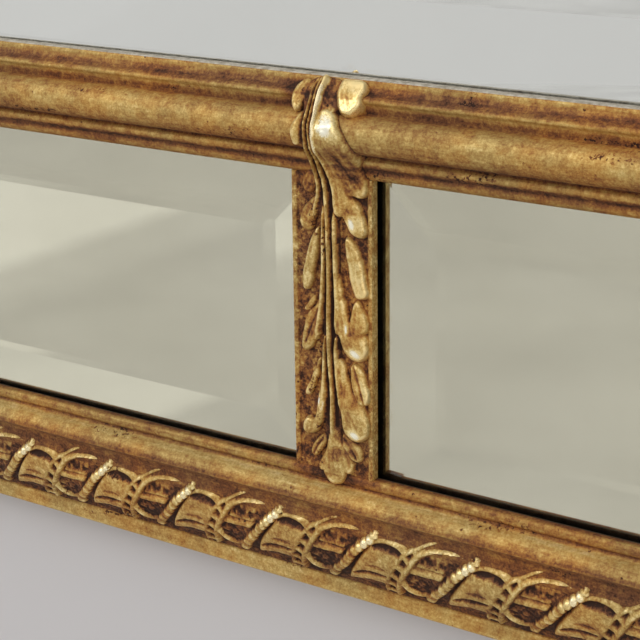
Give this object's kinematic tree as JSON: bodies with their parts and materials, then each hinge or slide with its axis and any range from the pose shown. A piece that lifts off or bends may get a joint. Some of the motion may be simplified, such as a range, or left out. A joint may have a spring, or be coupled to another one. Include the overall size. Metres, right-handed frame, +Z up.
{
  "type": "gilt mirror",
  "caption": "Gilt wall mirror: a bevelled main plate in a moulded frame, a mirror border parted by straps with carved leaves, and an outer frame with ribbon ornament.",
  "frame": {"origin": "centre of the back face, in the plane of the backs of the outer rails", "axes": "+Z up, +Y out of the back towards the wall, the front faces -Y, +X to the right seen from the front"},
  "size_m": [0.86, 0.0365, 1.12],
  "materials": {
    "gilt_wood": "worn water gilding over red-brown clay, dark in the hollows",
    "gilt_ornament": "worn gilding on pressed ornament, dark patina in the hollows",
    "gilt_strap": "worn gilding, with the ground rubbed to red-brown clay",
    "gilt_carving": "gilding burnished on the high points of the carving",
    "mirror_plate": "silvered glass with a polished bevel",
    "backing_sheet": "soft grey-brown felted card",
    "bare_wood": "bare aged softwood",
    "steel": "plain zinc-plated steel",
    "bumper": "matt black rubber"
  },
  "bodies": {
    "frame": {"outer_rail_bottom": "gilt_wood", "inner_rail_bottom": "gilt_wood", "outer_ornament_bottom": "gilt_ornament", "divider_bottom": "gilt_strap", "leaf_bottom": "gilt_carving", "outer_rail_left": "gilt_wood", "inner_rail_left": "gilt_wood", "outer_ornament_left": "gilt_ornament", "divider_left": "gilt_strap", "leaf_left": "gilt_carving", "outer_rail_top": "gilt_wood", "inner_rail_top": "gilt_wood", "outer_ornament_top": "gilt_ornament", "divider_top": "gilt_strap", "leaf_top": "gilt_carving", "outer_rail_right": "gilt_wood", "inner_rail_right": "gilt_wood", "outer_ornament_right": "gilt_ornament", "divider_right": "gilt_strap", "leaf_right": "gilt_carving", "corner_divider_bottom_left": "gilt_strap", "corner_leaf_bottom_left": "gilt_carving", "corner_divider_top_left": "gilt_strap", "corner_leaf_top_left": "gilt_carving", "corner_divider_top_right": "gilt_strap", "corner_leaf_top_right": "gilt_carving", "corner_divider_bottom_right": "gilt_strap", "corner_leaf_bottom_right": "gilt_carving", "border_plate_bottom_left": "mirror_plate", "border_plate_bottom_right": "mirror_plate", "border_plate_left_upper": "mirror_plate", "border_plate_left_lower": "mirror_plate", "border_plate_top_right": "mirror_plate", "border_plate_top_left": "mirror_plate", "border_plate_right_lower": "mirror_plate", "border_plate_right_upper": "mirror_plate", "main_plate": "mirror_plate", "main_backing": "backing_sheet", "border_backing": "backing_sheet", "outer_corner_keys": "bare_wood", "inner_corner_keys": "bare_wood", "back_panel": "bare_wood", "hanger_plate_left": "steel", "hanger_plate_right": "steel", "panel_screws": "steel", "hanger_screws": "steel", "wall_bumpers": "bumper"},
    "ring_left": {"hanger_ring_left": "steel"},
    "ring_right": {"hanger_ring_right": "steel"}
  },
  "joints": [
    {"name": "ring_left_swing", "type": "hinge", "parent": "frame", "child": "ring_left", "pos_m": [-0.418, 0.00268, 0.3], "axis": [1, 0, 0], "range_deg": [0, 180]},
    {"name": "ring_right_swing", "type": "hinge", "parent": "frame", "child": "ring_right", "pos_m": [0.418, 0.00268, 0.3], "axis": [1, 0, 0], "range_deg": [0, 180]}
  ]
}
